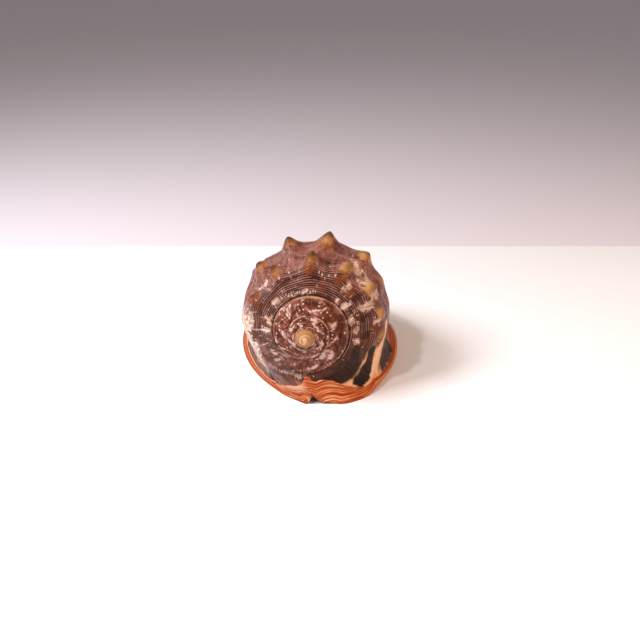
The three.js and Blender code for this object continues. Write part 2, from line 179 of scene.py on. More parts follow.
# Stage, in metres. Lights: place, width, tint
FLOOR_REACH, FLOOR_BLEND, FLOOR_ROUGHNESS = 8.0, 0.004, 0.7
LOOK_AT, LIGHT_AT = (0.0001, -0.02, 0.042), (0, 0, 0.04)
LENS = 36.0
LIGHTS = {
    "key": ((-0.55, -0.25, 0.65), 0.3, (0.95, 0.97, 1.0)),
    "glint": ((-0.35, -0.5, 0.8), 0.05, (1.0, 1.0, 1.0)),
    "fill": ((0.6, -0.4, 0.5), 0.4, (1.0, 0.68, 0.46)),
}
ROOM_TINT = (1, 0.95, 0.93, 1)

# Grid: columns round the shell, rows across a spire whorl, rows down the front and along the base
LOWER_COLUMNS, UPPER_COLUMNS = 64, 172
COLUMNS = 2 * LOWER_COLUMNS + UPPER_COLUMNS
WHORL_ROWS = 22
FRONT_ROWS, BASE_ROWS = 90, 88
BODY_ROWS = FRONT_ROWS + BASE_ROWS
NOTCH_ROW = round(NOTCH_SHARE * FRONT_ROWS)
CAVITY_COLUMNS = COLUMNS // 10
CLOSE_ROWS, CLOSE_REACH = 0.72, 0.55


def ease(x):
    """Smooth step: 3x^2 - 2x^3 on x held between 0 and 1."""
    x = np.clip(x, 0, 1)
    return x * x * (3 - 2 * x)


def bell(x):
    """exp(-x^2)."""
    return np.exp(-x * x)


def between(x, low, high, soft):
    """1 from low to high, easing to 0 over a soft stretch outside."""
    return ease((x - low + soft) / soft) * ease((high + soft - x) / soft)


def mix(a, b, share):
    """a + (b - a) share, with share given an axis for points."""
    share = np.asarray(share, float)
    if np.ndim(a) > share.ndim:
        share = share[..., None]
    return a + (b - a) * share


def growth(angle):
    """Growth factor: WHORL_GROWTH to the power of the number of turns."""
    return WHORL_GROWTH ** (angle / 360)


def bridge(t, start, leaving, end, arriving):
    """Cubic Hermite curve from start to end with a direction at each."""
    return (
        (2 * t**3 - 3 * t**2 + 1) * start
        + (t**3 - 2 * t**2 + t) * leaving
        + (3 * t**2 - 2 * t**3) * end
        + (t**3 - t**2) * arriving
    )


# Profile curve

KNOTS = np.concatenate([[0], np.cumsum(np.hypot(*np.diff(PROFILE[:, :2], axis=0).T))])
BEFORE = np.maximum(np.arange(len(KNOTS)) - 1, 0)
AFTER = np.minimum(np.arange(len(KNOTS)) + 1, len(KNOTS) - 1)
SLOPES = (PROFILE[AFTER] - PROFILE[BEFORE]) / (KNOTS[AFTER] - KNOTS[BEFORE])[:, None]


def profile(length):
    """Radius, depth and fade at a length: cubic Hermite pieces through PROFILE by chord length."""
    length = np.asarray(length, float)
    k = np.clip(np.searchsorted(KNOTS, length, side="right") - 1, 0, len(KNOTS) - 2)
    span = (KNOTS[k + 1] - KNOTS[k])[..., None]
    t = (length[..., None] - KNOTS[k][..., None]) / span
    value = bridge(t, PROFILE[k], span * SLOPES[k], PROFILE[k + 1], span * SLOPES[k + 1])
    return value[..., 0], value[..., 1], np.clip(value[..., 2], 0, 1)


RAMP = np.linspace(0, KNOTS[SHOULDER], 4001)
RAMP_RADIUS = profile(RAMP)[0]


def length_at(radius):
    """Length along the profile at a radius, on the slope above the shoulder."""
    return np.interp(radius, RAMP_RADIUS, RAMP)


def cameo_place(angle, depth):
    """Coordinates in the carved oval, both from -1 to 1 inside it: across the back and along it."""
    return (angle - CAMEO_ANGLE) / CAMEO_HALF_ANGLE, (depth - CAMEO_DEPTH) / CAMEO_HALF_DEPTH


def cameo_cover(angle, depth):
    """1 inside the carved oval, falling to 0 just outside it."""
    return 1 - ease((np.hypot(*cameo_place(angle, depth)) - 0.98) / 0.14)


def knobs_near(angle, radius, depth):
    """For each knob, its height and the square of the distance to it, d, in its half widths."""
    for row_radius, row_depth, reach, spread, knobs in KNOB_ROWS:
        across = np.hypot(radius - row_radius, depth - row_depth) / reach
        for at, tall in knobs:
            yield tall, across**2 + ((angle - at) / spread) ** 2


def knob_relief(angle, radius, depth):
    """Sum over the knobs of height times exp(-1.5 d^1.35), a rounded cone, on a low broad swelling,
    less the hollows of the whorl."""
    height = np.zeros(np.broadcast(angle, radius).shape)
    for tall, d2 in knobs_near(angle, radius, depth):
        cone, swelling = np.exp(-1.5 * (d2 + 0.03) ** 0.675), np.exp(-0.45 * d2)
        height += tall * (KNOB_CONE * cone + KNOB_SWELL * swelling)
    clear = ease((radius - SUTURE_RADIUS) / KNOB_CLEARANCE)
    height = height * clear * (1 - cameo_cover(angle, depth))
    for first, last, turn_fade, front, back, depth_fade, fall in HOLLOWS:
        height -= fall * between(angle, first, last, turn_fade) * between(depth, front, back, depth_fade)
    return height


def about_axis(angle, radius, depth):
    """Point at an angle and radius round the tilted axis, which bends down and across to the canal."""
    turned = np.radians(-90 - angle)
    bend = ease((depth - BEND_START) / BEND_LENGTH)
    up = radius * np.sin(turned) - CANAL_DROP * bend
    return np.stack([
        APEX_X + CANAL_SWAY * bend + radius * np.cos(turned),
        depth * math.cos(AXIS_TILT) + up * math.sin(AXIS_TILT),
        APEX_HEIGHT - depth * math.sin(AXIS_TILT) + up * math.cos(AXIS_TILT),
    ], -1)


def whorl(angle, length):
    """Outer surface of a whorl: the profile scaled by the growth, with knobs on the last turn."""
    angle, length = np.broadcast_arrays(np.asarray(angle, float), np.asarray(length, float))
    radius, depth, fade = profile(length)
    scale = growth(angle) ** (1 - fade) * FADED_GROWTH**fade
    raised = np.where(angle > -360, knob_relief(angle, radius, depth), 0) * scale
    return about_axis(angle, radius * scale + raised, depth * scale - KNOB_LEAN * raised)


def whorl_row(angle, share):
    """Last whorl at a share of the way from the ring round the spire to the canal's end."""
    return whorl(angle, row_length(angle, share))


def row_length(angle, share):
    """Length along the profile at a share of the way from the ring to the canal's end."""
    start = length_at(SUTURE_RADIUS / growth(angle))
    return start + (KNOTS[-1] - start) * share


# Base

def outline(side, angle):
    """Base outline: half an ellipse in front, drawn out to the canal's width behind."""
    across, along = np.cos(np.radians(angle)), np.sin(np.radians(angle))
    across = np.maximum(across, 0)
    width = np.where(side < 0, SHIELD_HALF_WIDTH, LIP_HALF_WIDTH)
    behind = CANAL_HALF_WIDTH + (width - CANAL_HALF_WIDTH) * across**1.1
    half = np.where(along > 0, behind, width * across ** np.where(side < 0, SHIELD_TAPER, LIP_TAPER))
    y = BASE_CENTRE_Y + np.where(along > 0, BASE_BACK, BASE_FRONT) * along
    x = BASE_CENTRE_X + side * half
    return np.stack(np.broadcast_arrays(x, y, np.zeros_like(x)), -1)


def canal_lift(y):
    """Height that eases the underside up towards the canal's end."""
    return CANAL_LIFT * ease((y - CANAL_LIFT_START) / (BASE_CENTRE_Y + BASE_BACK - CANAL_LIFT_START))


def along_base(share):
    """Share of the way along the base: 0 at its front and on the front wall, 1 at the canal's end."""
    return np.clip((share - FRONT_SHARE) / (1 - FRONT_SHARE), 0, 1)


def tooth_wave(along):
    """1 in the middle of a gap between two teeth and -1 on a tooth, along the base."""
    return np.cos(2 * np.pi * TEETH * along)


def mouth_gap(share):
    """Half the slot's width: shut at the top of the front, widest at the notch, narrow in the canal."""
    front = NOTCH_HALF_WIDTH * np.clip((share / FRONT_SHARE - NOTCH_SHARE) / (1 - NOTCH_SHARE), 0, 1)
    along = along_base(share)
    settled = MOUTH_HALF_WIDTH + (CANAL_GAP - MOUTH_HALF_WIDTH) * ease((along - 0.6) / 0.4)
    settled = settled + TOOTH_HEIGHT * tooth_wave(along) * np.sin(np.pi * along)
    behind = NOTCH_HALF_WIDTH + (settled - NOTCH_HALF_WIDTH) * ease(along / 0.12)
    return np.where(share < FRONT_SHARE, front, behind)


def mouth_line(side, share):
    """Edge of the slot: a line bowed like half a sine wave, half the slot's width to each side."""
    along = along_base(share)
    bow = MOUTH_BOW * np.sin(np.pi * along) + (BASE_CENTRE_X - MOUTH_X) * along
    x = MOUTH_X + bow + side * mouth_gap(share)
    y = BASE_CENTRE_Y - BASE_FRONT + (BASE_BACK + BASE_FRONT) * along
    return np.stack(np.broadcast_arrays(x, y, np.zeros_like(x)), -1)


def front_rim(side, across, share):
    """Outline from the front corner to the mouth, drawn over to the slot's edge."""
    point = outline(side, CORNER_ANGLE + (-90 - CORNER_ANGLE) * across)
    mouth = mouth_line(side, np.minimum(share, FRONT_SHARE))
    point[..., 0] += (mouth[..., 0] - BASE_CENTRE_X) * across**3
    return point


def underside(side, across, share):
    """Underside: a straight blend from side rim to mouth, bent so that its front is the front rim."""
    along = along_base(share)
    rim = outline(side, CORNER_ANGLE + (90 - CORNER_ANGLE) * along)
    straight = mix(outline(side, np.full_like(along, CORNER_ANGLE)),
                   mouth_line(side, np.minimum(share, FRONT_SHARE)), across)
    bent = front_rim(side, across, share) - straight
    point = mix(rim, mouth_line(side, share), across) + bent * (1 - along)[..., None]
    edge = np.where(side < 0, SHIELD_EDGE + SHIELD_RISE * ease(along / 0.5), LIP_EDGE)
    height = edge + (np.minimum(edge, 3) - edge) * ease((along - 0.6) / 0.4)
    point[..., 2] = height * np.clip(1 - across / RIM_ROUND, 0, 1) ** 2 + canal_lift(point[..., 1])
    return point


AXIS_UP = np.array([0, math.sin(AXIS_TILT), math.cos(AXIS_TILT)])
AXIS_BACK = np.array([0, math.cos(AXIS_TILT), -math.sin(AXIS_TILT)])


def outward(side, angle, length):
    """Direction away from the base outline and a little down, times a length."""
    across, along = np.cos(np.radians(angle)), np.sin(np.radians(angle))
    parts = np.broadcast_arrays(side * across, along, np.full_like(across, -0.3))
    return np.stack(parts, -1) * np.asarray(length)[..., None]


def flank(side, across, share):
    """Flank: from the whorl's side straight down, then flaring out to the rim."""
    along = along_base(share)
    top = whorl_row(np.where(side < 0, -270.0, -90.0), share)
    rim = underside(side, np.zeros_like(share), share)
    drop = np.linalg.norm(top - rim, axis=-1)
    down = -FLANK_DROP * drop[..., None] * AXIS_UP
    strength = (CORNER_FLARE + (1 - CORNER_FLARE) * ease(along / 0.35)) * (1 - 0.7 * along)
    flare = np.where(side < 0, SHIELD_FLARE, LIP_FLARE) * drop * strength
    heading = CORNER_ANGLE + (90 - CORNER_ANGLE) * along - CORNER_SLANT * (1 - ease(along / 0.35))
    return bridge(across[..., None], top, down, rim, outward(side, heading, flare))


def front_wall(side, angle, below, share):
    """Front: from the ring round the spire in under the whorl, then out to the front rim."""
    ring = whorl_row(angle, np.zeros_like(share))
    turned = np.radians(-90 - angle)[..., None]
    radial = np.cos(turned) * np.array([1.0, 0, 0]) + np.sin(turned) * AXIS_UP
    leaving = (radial + WALL_SLOPE * AXIS_BACK) * WALL_DROP
    t = np.clip(share / FRONT_SHARE, 0, 1)
    across = np.clip(2 * below - 1, 0, 1)
    shoulder = np.clip(2 * below, 0, 1)
    rim = front_rim(side, across, share)
    rim[..., 2] = underside(side, across, np.full_like(share, FRONT_SHARE))[..., 2]
    side_end = flank(side, shoulder, np.full_like(share, FRONT_SHARE))
    end = np.where((below < 0.5)[..., None], side_end, rim)
    corner = CORNER_ANGLE + CORNER_SLANT
    heading = np.where(
        below < 0.5,
        75 + (corner - 75) * shoulder**1.5,
        CORNER_ANGLE + (-90 - CORNER_ANGLE) * across + CORNER_SLANT * (1 - across) ** 1.5,
    )
    return bridge(t[..., None], ring, leaving, end, outward(side, heading, np.full_like(t, WALL_FLARE)))


def body_places():
    """Growth angle, share of the way to the canal, side and how far below the axis, on the grid."""
    lower = np.linspace(0, 90, LOWER_COLUMNS + 1)
    upper = np.linspace(90, 270, UPPER_COLUMNS + 1)
    column_angle = np.concatenate([lower[:-1], upper, 360 - lower[::-1][1:]]) - 360
    front = np.linspace(0, FRONT_SHARE, FRONT_ROWS + 1)
    spaced = np.interp(np.linspace(0, 1, BASE_ROWS + 1), (0, CLOSE_ROWS, 1), (0, CLOSE_REACH, 1))
    behind = FRONT_SHARE + (1 - FRONT_SHARE) * spaced
    share, angle = np.meshgrid(np.concatenate([front[:-1], behind]), column_angle, indexing="ij")
    side = np.where(angle < -180, -1.0, 1.0)
    below = np.where(side < 0, (-270 - angle) / 90, (angle + 90) / 90)
    return angle, share, side, below


def body_surface():
    """Last whorl: turned above the axis, and below it blended into the wall, flank and underside."""
    angle, share, side, below = body_places()
    turned = whorl_row(angle, share)
    drawn = np.clip(below, 0, 1)
    wall = front_wall(side, angle, drawn, share)
    fold = bell((1 - drawn) / 0.15) * np.sin(np.pi * np.clip(share / FRONT_SHARE, 0, 1))
    wall[..., 1] -= NOTCH_FOLD * fold
    down = flank(side, np.clip(2 * drawn, 0, 1), share)
    under = underside(side, np.clip(2 * drawn - 1, 0, 1), share)
    based = np.where((drawn < 0.5)[..., None], down, under)
    lower = np.where((share < FRONT_SHARE)[..., None], wall, based)
    foot = bell((share - FRONT_SHARE) / 0.02) * bell((1 - drawn) / 0.07)
    lower = lower + foot[..., None] * np.array(FOOT_ROUND)
    return np.where((below <= 0)[..., None], turned, mix(turned, lower, ease(2 * drawn)))


def spire_turn(turn):
    """One spire whorl between its sutures; the first opens from a small round tip."""
    angle = body_places()[0][0] + 360 * (turn - SPIRE_TURNS)
    opened = (angle - angle[0]) / 360
    across, angle = np.meshgrid(np.linspace(0, 1, WHORL_ROWS + 1), angle, indexing="ij")
    if turn > 0:
        return angle, length_at(SUTURE_RADIUS * WHORL_GROWTH**across), None
    radius, depth, _ = profile(length_at(SUTURE_RADIUS * WHORL_GROWTH**across))
    bulge = (depth - CONE_SLOPE * radius) * opened
    radius = SUTURE_RADIUS * WHORL_GROWTH ** (across * opened)
    tip = growth(-360.0 * SPIRE_TURNS)
    point = about_axis(angle, radius * tip, (CONE_SLOPE * radius + bulge) * tip)
    return angle, across * KNOTS[SHOULDER], point


def shoulder_band():
    """Start of the last whorl, from the suture to the ring that meets it at the notch."""
    angle = body_places()[0][0]
    across, angle = np.meshgrid(np.linspace(0, 1, WHORL_ROWS + 1), angle, indexing="ij")
    return angle, length_at(SUTURE_RADIUS * growth(angle) ** -across)


def cavity(body):
    """Curved pocket from the mouth's right edge up beside the pillar and back to its left edge."""
    rows = np.arange(NOTCH_ROW, BODY_ROWS + 1)
    right, left = body[rows, -1][:, None], body[rows, 0][:, None]
    along = (body_places()[1][rows, 0] - FRONT_SHARE) / (1 - FRONT_SHARE)
    bowed = np.sin(np.pi * np.clip((along + 0.06) / 1.06, 0, 1)) ** 1.2
    deep = (ease((rows - NOTCH_ROW) / (FRONT_ROWS * 0.66)) * (0.16 + 0.84 * bowed))[:, None, None]
    middle = (right + left) / 2
    back = deep * CAVITY_BACK * (1 - ease(along / 0.12))[:, None, None] * np.array([0, 1.0, 0])
    half = CAVITY_COLUMNS // 2

    def curve(a, b, c, d, count, last):
        t = np.linspace(0, 1, count + 1)[None, : count + 1 if last else count, None]
        return (1 - t) ** 3 * a + 3 * t * (1 - t) ** 2 * b + 3 * t**2 * (1 - t) * c + t**3 * d

    end = middle + back + deep * CAVITY_TOP
    outer = curve(right, right + back + deep * CAVITY_RIGHT, middle + back + deep * CAVITY_OUTER, end,
                  half, False)
    inner = curve(end, middle + back + deep * CAVITY_INNER, left + back + deep * CAVITY_LEFT, left,
                  CAVITY_COLUMNS - half, True)
    return np.concatenate([outer, inner], 1)


# Mesh

def cells(grid):
    """The four corners of every cell of a grid, in order round the cell."""
    return np.stack([grid[:-1, :-1], grid[:-1, 1:], grid[1:, 1:], grid[1:, :-1]], -1).reshape(-1, 4)


def grid_faces(vertex, place):
    """Quads of a grid, and triangles where a side has no length, as (vertices, places) pairs."""
    quads, corners = cells(vertex), cells(place)
    same = quads == np.roll(quads, -1, axis=1)
    whole = ~same.any(1)
    sides = [(np.delete(quads[same[:, side]], side, axis=1), np.delete(corners[same[:, side]], side, axis=1))
             for side in range(4)]
    return (quads[whole], corners[whole]), tuple(np.concatenate(part) for part in zip(*sides))


class Surface:
    """Grids that share vertices along their edges; each grid node also has a place of its own."""

    def __init__(self):
        self.count = 0
        self.grids = []

    def grid(self, rows, columns):
        """A new grid of places, and the same numbers to be joined up as vertices."""
        place = np.arange(self.count, self.count + rows * columns).reshape(rows, columns)
        self.count += rows * columns
        self.grids.append((place.copy(), place))
        return self.grids[-1]

    def faces(self, extra):
        """Quads and triangles of every grid, with the extra triangles, less those with no area."""
        parts = [grid_faces(vertex, place) for vertex, place in self.grids]
        quads = tuple(np.concatenate(part) for part in zip(*[quad for quad, _ in parts]))
        triangles = [triangle for _, triangle in parts] + extra
        vertices, places = (np.concatenate(part) for part in zip(*triangles))
        kept = (vertices != np.roll(vertices, -1, axis=1)).all(1)
        return quads, (vertices[kept], places[kept])


def assemble():
    """Points, faces, and the places at the vertices and at the face corners, among them each place's distance
    to the rim.
    """
    surface = Surface()
    body, body_place = surface.grid(BODY_ROWS + 1, COLUMNS + 1)
    body[: NOTCH_ROW + 1, -1] = body[: NOTCH_ROW + 1, 0]
    band, band_place = surface.grid(WHORL_ROWS + 1, COLUMNS + 1)
    band[-1], band[:, -1] = body[0], body[0, -1]
    outer, outer_place, spires = band, band_place, []
    for turn in reversed(range(SPIRE_TURNS)):
        spire, place = surface.grid(WHORL_ROWS + 1, COLUMNS + 1)
        spire[-1], spire[:, -1] = outer[0], outer[:, 0]
        if turn == 0:
            spire[:, 0] = outer[0, 0]
        spires.append((turn, spire, place))
        outer, outer_place = spire, place
    pocket, pocket_place = surface.grid(BODY_ROWS - NOTCH_ROW + 1, CAVITY_COLUMNS + 1)
    pocket[0], pocket[:, 0], pocket[:, -1] = body[NOTCH_ROW, 0], body[NOTCH_ROW:, -1], body[NOTCH_ROW:, 0]
    apex = surface.count

    points = np.zeros((apex + 1, 3))
    places = {name: np.zeros(apex + 1) for name in ("angle", "length", "share", "below", "inside")}
    places["share"][:] = -1
    points[pocket] = cavity(body_surface())
    column = np.arange(CAVITY_COLUMNS + 1)
    places["inside"][pocket_place] = ease(np.minimum(column, CAVITY_COLUMNS - column) / 6)
    places["below"][pocket_place] = 1
    points[apex] = about_axis(np.array(0.0), np.array(0.0), np.array(0.0))
    places["angle"][apex] = -360.0 * (SPIRE_TURNS + 1)
    for turn, spire, place in reversed(spires):
        angle, length, opened = spire_turn(turn)
        points[spire] = whorl(angle, length) if opened is None else opened
        places["angle"][place], places["length"][place] = angle, length
    angle, length = shoulder_band()
    points[band] = whorl(angle, length)
    places["angle"][band_place], places["length"][band_place] = angle, length
    angle, share, _, below = body_places()
    points[body] = body_surface()
    places["angle"][body_place], places["share"][body_place] = angle, share
    places["length"][body_place] = row_length(angle, share)
    places["below"][body_place] = np.clip(below, 0, 1)

    tip = [np.stack([np.full(COLUMNS, apex), of[0, 1:], of[0, :-1]], -1) for of in (outer, outer_place)]
    at = np.arange(COLUMNS) * CAVITY_COLUMNS // COLUMNS
    after = (np.arange(COLUMNS) + 1) * CAVITY_COLUMNS // COLUMNS
    closing, stepping = [], []
    for rim, groove in ((body[-1], pocket[-1, ::-1]), (body_place[-1], pocket_place[-1, ::-1])):
        closing.append(np.stack([rim[:-1], rim[1:], groove[after]], -1))
        stepping.append(np.stack([rim[:-1], groove[after], groove[at]], -1)[after > at])
    quads, triangles = surface.faces([tuple(tip), tuple(closing), tuple(stepping)])

    half = LOWER_COLUMNS // 2
    sides = body[FRONT_ROWS:, [half, COLUMNS - half]].ravel()
    front = np.concatenate([body[FRONT_ROWS, :half], body[FRONT_ROWS, COLUMNS - half:]])
    rim = points[np.concatenate([sides, front])]
    home = np.arange(apex + 1)
    for vertex, place in surface.grids:
        home[place] = vertex
    places["rim"] = gap_to(points[home], rim)

    loops = np.concatenate([quads[0].ravel(), triangles[0].ravel()])
    used, packed = np.unique(loops, return_inverse=True)
    faces = packed[: quads[0].size].reshape(-1, 4), packed[quads[0].size :].reshape(-1, 3)
    corners = np.concatenate([quads[1].ravel(), triangles[1].ravel()])
    at_vertices = {name: value[used] for name, value in places.items()}
    at_corners = {name: value[corners] for name, value in places.items()}
    return points[used], faces, at_vertices, at_corners


def gap_to(points, line):
    """Distance from each point to the nearest point of a line."""
    squares = (points**2).sum(1)[:, None] + (line**2).sum(1) - 2 * points @ line.T
    return np.sqrt(np.maximum(squares.min(1), 0))


def vertex_normals(points, quads, triangles):
    """Area-weighted mean of the normals of the faces round each vertex."""
    every = np.concatenate([quads[:, :3], quads[:, [0, 2, 3]], triangles])
    a, b, c = points[every[:, 0]], points[every[:, 1]], points[every[:, 2]]
    face = np.cross(b - a, c - a)
    normals = np.zeros_like(points)
    for corner in range(3):
        for axis in range(3):
            normals[:, axis] += np.bincount(every[:, corner], face[:, axis], len(points))
    return normals / np.maximum(np.linalg.norm(normals, axis=1), 1e-12)[:, None]


def fill_mesh(mesh, points, quads, triangles):
    """Puts vertices, quads and triangles into a mesh, with smooth faces."""
    mesh.vertices.add(len(points))
    mesh.vertices.foreach_set("co", points.astype(np.float32).ravel())
    loops = np.concatenate([quads.ravel(), triangles.ravel()])
    mesh.loops.add(len(loops))
    mesh.loops.foreach_set("vertex_index", loops.astype(np.int32))
    start = np.concatenate([np.arange(len(quads)) * 4, quads.size + np.arange(len(triangles)) * 3])
    mesh.polygons.add(len(start))
    mesh.polygons.foreach_set("loop_start", start.astype(np.int32))
    mesh.polygons.foreach_set("use_smooth", np.ones(len(start), bool))
    mesh.update(calc_edges=True)
    if mesh.validate():
        raise RuntimeError("the shell's mesh had faults")


# Relief

def patches(table, angle, length):
    """Greatest over a table of strength times exp(-d^2), d being measured in each patch's half widths."""
    cover = np.zeros_like(angle)
    for at, along, half_angle, half_length, strength in table:
        d = np.hypot((angle - at) / half_angle, (length - along) / half_length)
        cover = np.maximum(cover, strength * bell(d))
    return cover


def streaks(table, angle, share):
    """Greatest over a table of strength times exp(-d^2), d being the distance to a streak's middle line."""
    x, y = angle * STREAK_DEGREE, share * 100
    cover = np.zeros_like(angle)
    for from_angle, from_share, to_angle, to_share, half, strength in table:
        run, rise = (to_angle - from_angle) * STREAK_DEGREE, to_share - from_share
        dx, dy = x - from_angle * STREAK_DEGREE, y - from_share
        part = np.clip((dx * run + dy * rise) / (run**2 + rise**2), 0, 1)
        cover = np.maximum(cover, strength * bell(np.hypot(dx - part * run, dy - part * rise) / half))
    return cover


def knob_tips(angle, length, sharpness):
    """Greatest over the knobs of exp(-sharpness d^2), less on the low ones."""
    radius, depth, _ = profile(length)
    cover = np.zeros_like(angle)
    for tall, d2 in knobs_near(angle, radius, depth):
        cover = np.maximum(cover, min(1, tall / FULL_KNOB) * np.exp(-sharpness * d2))
    return cover


def valleys(places):
    """From 0 to 1, how far a place lies in the hollows between the knobs of the first two rows."""
    angle, length = places["angle"], places["length"]
    zone = between(length, *VALLEY_LENGTHS) * between(angle, *VALLEY_ANGLES) * (places["below"] <= 0)
    return zone * (1 - knob_tips(angle, length, 0.45))


def from_notch(angle):
    """Degrees round the axis from the notch, on either side."""
    return np.minimum(-angle, angle + 360)


def lip_cover(places):
    """1 on the coloured lip: nearer the rim than a width that grows towards the notch."""
    angle, away = places["angle"], from_notch(places["angle"])
    right = LIP_BAND + LIP_BAND_GAIN * (1 - ease((away - LIP_FADE_START) / LIP_FADE))
    left = SHIELD_BAND + SHIELD_BAND_GAIN * (1 - ease((away - SHIELD_FADE_START) / SHIELD_FADE))
    left = left + NOTCH_BAND_GAIN * bell(away / NOTCH_REACH)
    width = np.where(angle > -180, right, left)
    banded = 1 - ease((places["rim"] - width + 1) / 2.5)
    down = places["share"] / FRONT_SHARE
    fold = (1 - ease((away + 2 - 22 * down) / 4)) * ease((down - 0.04) / 0.1)
    return (places["share"] >= 0) * np.maximum(banded, fold)


def under_cover(places):
    """1 on the underside, from just inside the rim to the mouth."""
    return (places["share"] >= FRONT_SHARE) * ease((places["below"] - 0.5) / 0.05)


def tooth_crest(places):
    """Height from 0 to 1 of the teeth and folds, which run from the mouth part of the way to the rim."""
    along = along_base(places["share"])
    across = 2 * places["below"] - 1
    lip = 0.5 - 0.5 * tooth_wave(along)
    shield = 0.5 - 0.5 * np.cos(2 * np.pi * (1.5 * TEETH * along + 0.8 * across))
    reach = np.where(places["angle"] > -180, 0.45, 0.2)
    return np.where(places["angle"] > -180, lip, shield) * ease((across - reach) / 0.35) * ease(along / 0.08)


def leaf(p, q, root, heading, long, wide):
    """Height of a pointed leaf: half-round across a width sin(pi a^0.8) long, with a groove down it."""
    cos, sin = math.cos(heading), math.sin(heading)
    a = np.clip(((p - root[0]) * cos + (q - root[1]) * sin) / long, 0, 1)
    b = ((q - root[1]) * cos - (p - root[0]) * sin) / wide
    half = np.sin(np.pi * a**0.8) + 1e-6
    return np.sqrt(np.clip(1 - (b / half) ** 2, 0, 1)) * half**0.5 * (1 - 0.45 * bell(b / 0.16))


def carved_sprig(p, q):
    """Height from 0 to 1 of a sprig: a bowed stem with pairs of leaves, a leaf at its end and berries."""
    def stem_at(along):
        return 0.11 * math.sin(2.6 * along)

    height = 0.55 * bell((p - 0.11 * np.sin(2.6 * q)) / 0.035) * between(q, -0.72, 0.5, 0.05)
    for at in (-0.46, -0.14, 0.18):
        for side, lean in ((-1, 0.75), (1, 0.6)):
            heading = math.pi / 2 - side * lean
            height = np.maximum(height, leaf(p, q, (stem_at(at), at), heading, 0.46 - 0.1 * at, 0.11))
        for side in (-1, 1):
            berry = np.hypot(p - stem_at(at) - 0.36 * side, q - at + 0.05) / 0.06
            height = np.maximum(height, 0.8 * np.sqrt(np.clip(1 - berry**2, 0, 1)))
    return np.maximum(height, leaf(p, q, (stem_at(0.45), 0.45), math.pi / 2, 0.42, 0.12))


def carving(places):
    """Cover of the carved oval, and the height from 0 to 1 of its frame and sprig."""
    depth = profile(places["length"])[1]
    cover = cameo_cover(places["angle"], depth) * (places["share"] >= 0) * (places["below"] <= 0)
    p, q = cameo_place(places["angle"], depth)
    ring = bell((np.hypot(p, q) - 0.93) / 0.045)
    return cover, cover * np.clip(np.maximum(ring, carved_sprig(p, q)), 0, 1)


def cord_zone(places):
    """1 where fine spiral cords run: the slope of the last whorl above its shoulder."""
    upper = 1 - ease(places["below"] / 0.3)
    return (places["angle"] > -360) * between(places["length"], *CORD_LENGTHS) * upper


def scars(places):
    """1 on the thin lines where growth once paused, which lean across the whorl."""
    angle, length = places["angle"], places["length"]
    lines = sum(bell((angle - at - lean * (length - 20)) / 0.7) for at, lean in SCARS)
    return lines * between(length, *SCAR_LENGTHS) * (angle > -360)


def old_lip(places):
    """1 on the raised plate that an older lip left, and 1 along the plate's two leaning edges."""
    angle, length = places["angle"], places["length"]
    past = PLATE_ANGLE + PLATE_LEAN * (length - 20) - angle
    plate = between(past, 0, PLATE_SPAN, 1.5) * between(length, *PLATE_LENGTHS) * (angle > -360)
    edges = bell(past / 0.8) + bell((past - PLATE_SPAN) / 0.8)
    bulge = np.sin(np.pi * np.clip(past / PLATE_SPAN, 0, 1))
    return plate * (1 + bulge), edges * between(length, *PLATE_EDGE_LENGTHS) * (angle > -360)


def suture_rim(places):
    """1 along the outer edge of a spire whorl, and the groove beside it at the start of the next."""
    length, spire = places["length"], places["angle"] < -360
    edge = bell((length - SUTURE_RIM) / 2.0) * spire
    groove = bell(length / 0.7) * (places["inside"] == 0) * (places["below"] < 0.98)
    groove *= places["angle"] > -360 * SPIRE_TURNS
    return edge, groove * (places["share"] <= 0)


def tip_cover(places):
    """From 1 in the middle of the spire's tip to 0 at its edge, in a straight line."""
    radius = profile(places["length"])[0] * growth(np.minimum(places["angle"], 0))
    return (places["angle"] < -360) * np.clip(1 - radius / TIP_RADIUS, 0, 1)


def relief(places, heights):
    """Height in millimetres to add along the normals: cords, beads, growth steps, layers and carving."""
    angle, length, below = places["angle"], places["length"], places["below"]
    scale = growth(np.minimum(angle, 0))
    turns = 2 * np.pi * angle / BEAD_ANGLE
    fine = cord_zone(places) * ease((angle + 285) / 60) * np.cos(2 * np.pi * length / CORD_PITCH)
    broad = between(length, *BACK_LENGTHS) * (1 - ease(below / 0.35))
    broad = broad * np.cos(2 * np.pi * length / BACK_PITCH)
    cover, raised = carving(places)
    lift = heights.cords / MM * scale * (fine + 1.8 * broad * (1 - cover))

    rows = np.maximum(np.cos(2 * np.pi * (length - 5) / BEAD_PITCH), 0)
    beads = rows * np.maximum(np.cos(turns + 2.1 * np.round((length - 5) / BEAD_PITCH)), 0)
    edge, groove = suture_rim(places)
    lift += (angle < -360) * between(length, *BEAD_LENGTHS) * heights.beads / MM * scale * beads
    lift += heights.beads / MM * scale * (edge * (0.9 + 0.5 * np.cos(turns)) - 1.1 * groove)
    plate, edges = old_lip(places)
    lift += 0.25 * scars(places) + 0.3 * edges + heights.plate / MM * plate
    lift -= heights.valleys / MM * valleys(places)
    lift += heights.tip / MM * (1 - (1 - tip_cover(places)) ** 2)

    lip = lip_cover(places) * (places["inside"] == 0)
    rim = places["rim"]
    off_rim = ease(rim / 2.5) * (1 - under_cover(places)) * (1 - bell(from_notch(angle) / 6))
    wander = 0.22 * np.sin(angle / 7) + 0.15 * np.sin(angle / 2.9 + rim)
    step = np.mod(rim / LAYER_PITCH + wander, 1)
    lift += heights.layers / MM * off_rim * lip * (0.9 + np.where(step < 0.8, step, 4 * (1 - step)))
    lift -= heights.teeth / MM * under_cover(places) * (1 - tooth_crest(places)) * ease((below - 0.6) / 0.2)
    return lift + cover * heights.carving / MM * (1.3 * raised - 1)


# Markings

